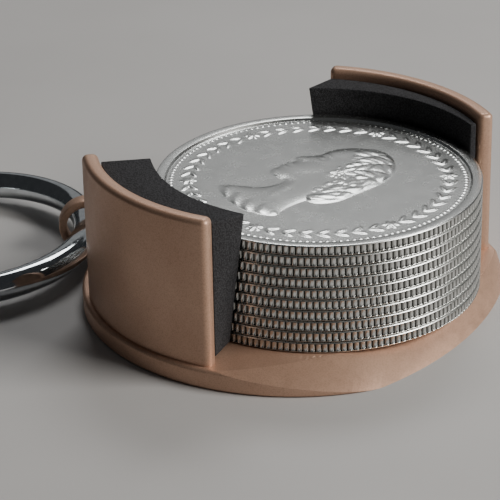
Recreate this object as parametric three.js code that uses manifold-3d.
// Open coin capsule: a round metal tray with two upright curved walls, each lined with a
// foam pad, holding a stack of coins, with a key ring through an eyelet on the rim.
//
// Frame: millimetres, +Z up. The origin is on the tray's axis, at its flat underside.
// Azimuths are in degrees, anticlockwise from +X seen from above.

import * as THREE from 'three';
import { mergeVertices } from 'three/addons/utils/BufferGeometryUtils.js';
import Module from 'manifold-3d';

// ---------- driving dimensions ----------

const coin = {
  diameter: 38,
  thickness: 1.22,
  edgeBreak: 0.12,
  count: 10,
  gap: 0.097,          // the raised rims keep the blanks apart
  shiftX: 2.7,         // the stack is pushed against the right-hand pad
  shiftY: -0.7,
};
const wall = {
  spaceForPad: 3.7,    // round a stack that stands in the middle
  thickness: 1.9,
  aboveCoins: 4.43,
  rimRound: 0.65,
  cornerRound: 0.75,
  left: { azimuth: -143.5, span: 59 },
  right: { azimuth: 46.2, span: 62.4 },
};
const base = {
  flange: 0.7,         // how far the base stands out past the walls
  thickness: 2.4,
  edgeRound: 0.45,
};
// The thumb scoop is cut by a wide slanted cone; its circles on the underside and on the
// floor are each set by a direction, a distance in from the base's round edge and a radius.
const thumbScoop = {
  underside: { azimuth: -33, inset: 2.65, radius: 43.3 },
  floor: { azimuth: -49, inset: 6.5, radius: 37 },
  from: -95,
  to: 20,
};
const pad = {
  glueGap: 0.25,
  coinClearance: 0.35,
  topBelowRim: 1.1,
  floorGap: 0.3,
  endInset: 0.25,
  topOverhang: 2.2,    // how much longer the inner face is at its top, at the anticlockwise end
};
const keyRing = {
  meanRadius: 15.8,
  width: 3.5,
  height: 3.5,
  edgeRound: 1.6,
  azimuth: 184,        // direction in which the ring lies from the eyelet
  floorClearance: 0.05,
};
const eyelet = {
  azimuth: 152,
  standOff: 3.6,       // from the base's round edge to the middle of the hole
  play: 0.7,           // round the key ring's section
  wall: 0.95,
  thickness: 2.2,
  rootLength: 7,
};
const arcStep = 2.5;   // degrees of arc for each facet of the round pieces

// ---------- sizes that follow from them ----------

const radians = THREE.MathUtils.degToRad;
const degrees = THREE.MathUtils.radToDeg;

const coinRadius = coin.diameter / 2;
const coinPitch = coin.thickness + coin.gap;
const wallInnerRadius = coinRadius + wall.spaceForPad;
const wallOuterRadius = wallInnerRadius + wall.thickness;
const wallHeight = coin.count * coinPitch + wall.aboveCoins;
const baseRadius = wallOuterRadius + base.flange;
const ringHalfDiagonal = keyRing.edgeRound
  + Math.hypot(keyRing.width / 2 - keyRing.edgeRound, keyRing.height / 2 - keyRing.edgeRound);
const eyeletHoleRadius = ringHalfDiagonal + eyelet.play;
const eyeletOuterRadius = eyeletHoleRadius + eyelet.wall;
const eyeletHole = new THREE.Vector3(
  (baseRadius + eyelet.standOff) * Math.cos(radians(eyelet.azimuth)),
  (baseRadius + eyelet.standOff) * Math.sin(radians(eyelet.azimuth)),
  eyeletOuterRadius,
);

// ---------- materials ----------

const satinRoseGold = new THREE.MeshStandardMaterial({ color: 0xb28a74, roughness: 0.42, metalness: 0.85 });
const blackFoam = new THREE.MeshStandardMaterial({ color: 0x17181a, roughness: 0.95, metalness: 0 });
const polishedSilver = new THREE.MeshStandardMaterial({ color: 0xc4c8c4, roughness: 0.16, metalness: 1 });
const polishedSteel = new THREE.MeshStandardMaterial({ color: 0xaab4ba, roughness: 0.12, metalness: 1 });

// ---------- helpers ----------

const epsilon = 0.5;   // how far a cutting or joined solid runs past a face

const wasm = await Module();
wasm.setup();

function toSolid(geometry) {
  const bare = geometry.clone();
  bare.deleteAttribute('normal');
  bare.deleteAttribute('uv');
  const merged = mergeVertices(bare, 1e-5);
  return new wasm.Manifold(new wasm.Mesh({
    numProp: 3,
    vertProperties: new Float32Array(merged.attributes.position.array),
    triVerts: new Uint32Array(merged.index.array),
  }));
}

function toGeometry(solid) {
  const mesh = solid.getMesh();
  const geometry = new THREE.BufferGeometry();
  geometry.setAttribute('position', new THREE.BufferAttribute(mesh.vertProperties, 3));
  geometry.setIndex(new THREE.BufferAttribute(mesh.triVerts, 1));
  geometry.computeVertexNormals();
  return geometry;
}

function piece(name, geometry, material) {
  const mesh = new THREE.Mesh(geometry, material);
  mesh.name = name;
  return mesh;
}

// A lathe turns about Y; this stands its axis up along +Z.
function lathe(points, segments) {
  const geometry = new THREE.LatheGeometry(points, segments);
  geometry.rotateX(Math.PI / 2);
  return geometry;
}

// Points along a circular arc, both ends included.
function arcPoints(centreX, centreY, radius, from, to, step = arcStep) {
  const count = Math.max(2, Math.ceil(Math.abs(to - from) / step));
  return Array.from({ length: count + 1 }, (_, i) => {
    const angle = radians(from + (to - from) * i / count);
    return new THREE.Vector2(centreX + radius * Math.cos(angle), centreY + radius * Math.sin(angle));
  });
}

// A lathe profile's quarter-round corner, from one angle to another.
function roundCorner(centreX, centreY, radius, from, to) {
  return arcPoints(centreX, centreY, radius, from, to, 30);
}

// ---------- tray: base, two walls and the eyelet, machined in one piece ----------

function baseDisc() {
  const { thickness, edgeRound: r } = base;
  const profile = [
    new THREE.Vector2(0, 0),
    ...roundCorner(baseRadius - r, r, r, -90, 0),
    ...roundCorner(baseRadius - r, thickness - r, r, 0, 90),
    new THREE.Vector2(0, thickness),
  ];
  return lathe(profile, 360 / arcStep);
}

// A wall seen from above: outer arc, then inner arc back, with quarter-round corners.
function wallFootprint({ azimuth, span }) {
  const r = wall.cornerRound;
  const outer = wallOuterRadius;
  const inner = wallInnerRadius;
  const outerInset = degrees(r / (outer - r));
  const innerInset = degrees(r / (inner + r));
  const start = azimuth - span / 2;
  const end = azimuth + span / 2;
  const corner = (radius, at, from, to) => roundCorner(
    radius * Math.cos(radians(at)), radius * Math.sin(radians(at)), r, at + from, at + to);
  return new THREE.Shape([
    ...corner(outer - r, start + outerInset, -90, 0),
    ...arcPoints(0, 0, outer, start + outerInset, end - outerInset).slice(1, -1),
    ...corner(outer - r, end - outerInset, 0, 90),
    ...corner(inner + r, end - innerInset, 90, 180),
    ...arcPoints(0, 0, inner, end - innerInset, start + innerInset).slice(1, -1),
    ...corner(inner + r, start + innerInset, 180, 270),
  ]);
}

function curvedWall(place) {
  const round = wall.rimRound;
  const fullHeight = wallHeight + base.thickness / 2;
  const geometry = new THREE.ExtrudeGeometry(wallFootprint(place), {
    depth: fullHeight - 2 * round,
    bevelEnabled: true,
    bevelThickness: round,
    bevelSize: round,
    bevelOffset: -round,
    bevelSegments: 3,
  });
  geometry.translate(0, 0, base.thickness / 2 + round);
  return geometry;
}

// The eyelet's outline in its own upright plane: X runs from the hole back to the tray.
function eyeletPlate() {
  const outer = eyeletOuterRadius;
  const slope = Math.hypot(eyelet.rootLength, base.thickness - outer);
  const tangent = Math.atan2(base.thickness - outer, eyelet.rootLength) + Math.acos(outer / slope);
  const outline = new THREE.Shape([
    new THREE.Vector2(eyelet.rootLength, 0),
    new THREE.Vector2(eyelet.rootLength, base.thickness),
    ...arcPoints(0, outer, outer, degrees(tangent), 270, 12),
  ]);
  const hole = new THREE.Path(arcPoints(0, outer, eyeletHoleRadius, 0, 345, 15));
  outline.holes.push(hole);
  const geometry = new THREE.ExtrudeGeometry(outline, { depth: eyelet.thickness, bevelEnabled: false });
  geometry.translate(0, 0, -eyelet.thickness / 2);
  geometry.rotateX(Math.PI / 2);
  geometry.rotateZ(radians(keyRing.azimuth + 180));
  geometry.translate(eyeletHole.x, eyeletHole.y, 0);
  return geometry;
}

// Slopes the floor's open edge down, so that a thumb gets under the coins.
function scoopCutter() {
  const circle = ({ azimuth, inset, radius }) => {
    const back = baseRadius - inset - radius;
    return new THREE.Vector3(back * Math.cos(radians(azimuth)), back * Math.sin(radians(azimuth)), radius);
  };
  const underside = circle(thumbScoop.underside);
  const floor = circle(thumbScoop.floor);
  const outline = new THREE.Shape([
    ...arcPoints(0, 0, 1, thumbScoop.from, thumbScoop.to, 1.5),
    ...arcPoints(0, 0, 1.8, thumbScoop.to, thumbScoop.from, 12),
  ]);
  const depth = base.thickness + 2 * epsilon;
  const geometry = new THREE.ExtrudeGeometry(outline, { depth, bevelEnabled: false });
  geometry.translate(0, 0, -epsilon);
  const point = new THREE.Vector3();
  const level = new THREE.Vector3();
  const { position } = geometry.attributes;
  for (let i = 0; i < position.count; i += 1) {
    point.fromBufferAttribute(position, i);
    level.lerpVectors(underside, floor, point.z / base.thickness);
    position.setXY(i, level.x + level.z * point.x, level.y + level.z * point.y);
  }
  return geometry;
}

function tray() {
  const solid = toSolid(baseDisc())
    .subtract(toSolid(scoopCutter()))
    .add(toSolid(curvedWall(wall.left)))
    .add(toSolid(curvedWall(wall.right)))
    .add(toSolid(eyeletPlate()));
  return piece('tray', toGeometry(solid), satinRoseGold);
}

// ---------- foam pads, glued inside the walls ----------

function foamPad(name, { azimuth, span }) {
  const outer = wallInnerRadius - pad.glueGap;
  const inner = coinRadius + pad.coinClearance;
  const inset = degrees(pad.endInset / outer);
  const start = azimuth - span / 2 + inset;
  const end = azimuth + span / 2 - inset;
  // The inner arc is centred on the coins; it ends on the same radial lines as the outer.
  const innerAzimuth = (at) => {
    const along = new THREE.Vector2(Math.cos(radians(at)), Math.sin(radians(at)));
    const shift = new THREE.Vector2(coin.shiftX, coin.shiftY);
    const offset = along.cross(shift);
    return at + degrees(Math.asin(-offset / inner));
  };
  const footprint = new THREE.Shape([
    ...arcPoints(0, 0, outer, start, end),
    ...arcPoints(coin.shiftX, coin.shiftY, inner, innerAzimuth(end), innerAzimuth(start)),
  ]);
  const height = wallHeight - pad.topBelowRim - pad.floorGap;
  const geometry = new THREE.ExtrudeGeometry(footprint, { depth: height, bevelEnabled: false });
  // One end slants: the inner face reaches further round towards its top.
  const first = radians(innerAzimuth(start));
  const widening = pad.topOverhang / inner / (radians(innerAzimuth(end)) - first);
  const { position } = geometry.attributes;
  for (let i = 0; i < position.count; i += 1) {
    const x = position.getX(i) - coin.shiftX;
    const y = position.getY(i) - coin.shiftY;
    if (position.getZ(i) > height / 2 && Math.hypot(x, y) < inner + 0.01) {
      const at = Math.atan2(y, x);
      const turned = at + (at - first) * widening;
      position.setXY(i, coin.shiftX + inner * Math.cos(turned), coin.shiftY + inner * Math.sin(turned));
    }
  }
  const mesh = piece(name, geometry, blackFoam);
  mesh.position.z = base.thickness + pad.floorGap;
  return mesh;
}

// ---------- coins ----------

function coinBlank() {
  const { thickness, edgeBreak } = coin;
  return lathe([
    new THREE.Vector2(0, 0),
    new THREE.Vector2(coinRadius - edgeBreak, 0),
    new THREE.Vector2(coinRadius, edgeBreak),
    new THREE.Vector2(coinRadius, thickness - edgeBreak),
    new THREE.Vector2(coinRadius - edgeBreak, thickness),
    new THREE.Vector2(0, thickness),
  ], 48);
}

function coinStack() {
  const stack = new THREE.Group();
  stack.position.set(coin.shiftX, coin.shiftY, base.thickness + coin.gap);
  for (let i = 0; i < coin.count; i += 1) {
    const name = `coin_${String(i + 1).padStart(2, '0')}`;
    const mesh = piece(name, coinBlank(), polishedSilver);
    mesh.position.z = i * coinPitch;
    stack.add(mesh);
  }
  return stack;
}

// ---------- key ring, leaning on the eyelet and on the surface below ----------

function ringSection() {
  const { meanRadius, width, height, edgeRound: r } = keyRing;
  const x = width / 2 - r;
  const y = height / 2 - r;
  const points = [
    ...roundCorner(meanRadius + x, y, r, 0, 90),
    ...roundCorner(meanRadius - x, y, r, 90, 180),
    ...roundCorner(meanRadius - x, -y, r, 180, 270),
    ...roundCorner(meanRadius + x, -y, r, 270, 360),
  ];
  points.push(points[0].clone());
  return points;
}

function keyRingPiece() {
  const pivotHeight = eyeletHole.z - eyelet.play / 2;
  const restHeight = keyRing.height / 2 + keyRing.floorClearance;
  const tilt = Math.asin((pivotHeight - restHeight) / (2 * keyRing.meanRadius));
  const geometry = lathe(ringSection(), 72);
  geometry.translate(keyRing.meanRadius, 0, 0);
  const mesh = piece('key_ring', geometry, polishedSteel);
  mesh.rotation.y = tilt;
  const swing = new THREE.Group();
  swing.position.set(eyeletHole.x, eyeletHole.y, pivotHeight);
  swing.rotation.z = radians(keyRing.azimuth);
  swing.add(mesh);
  return swing;
}

// ---------- assembly ----------

const capsule = new THREE.Group();
capsule.add(tray());
capsule.add(foamPad('left_pad', wall.left));
capsule.add(foamPad('right_pad', wall.right));
capsule.add(coinStack());
capsule.add(keyRingPiece());

export default capsule;
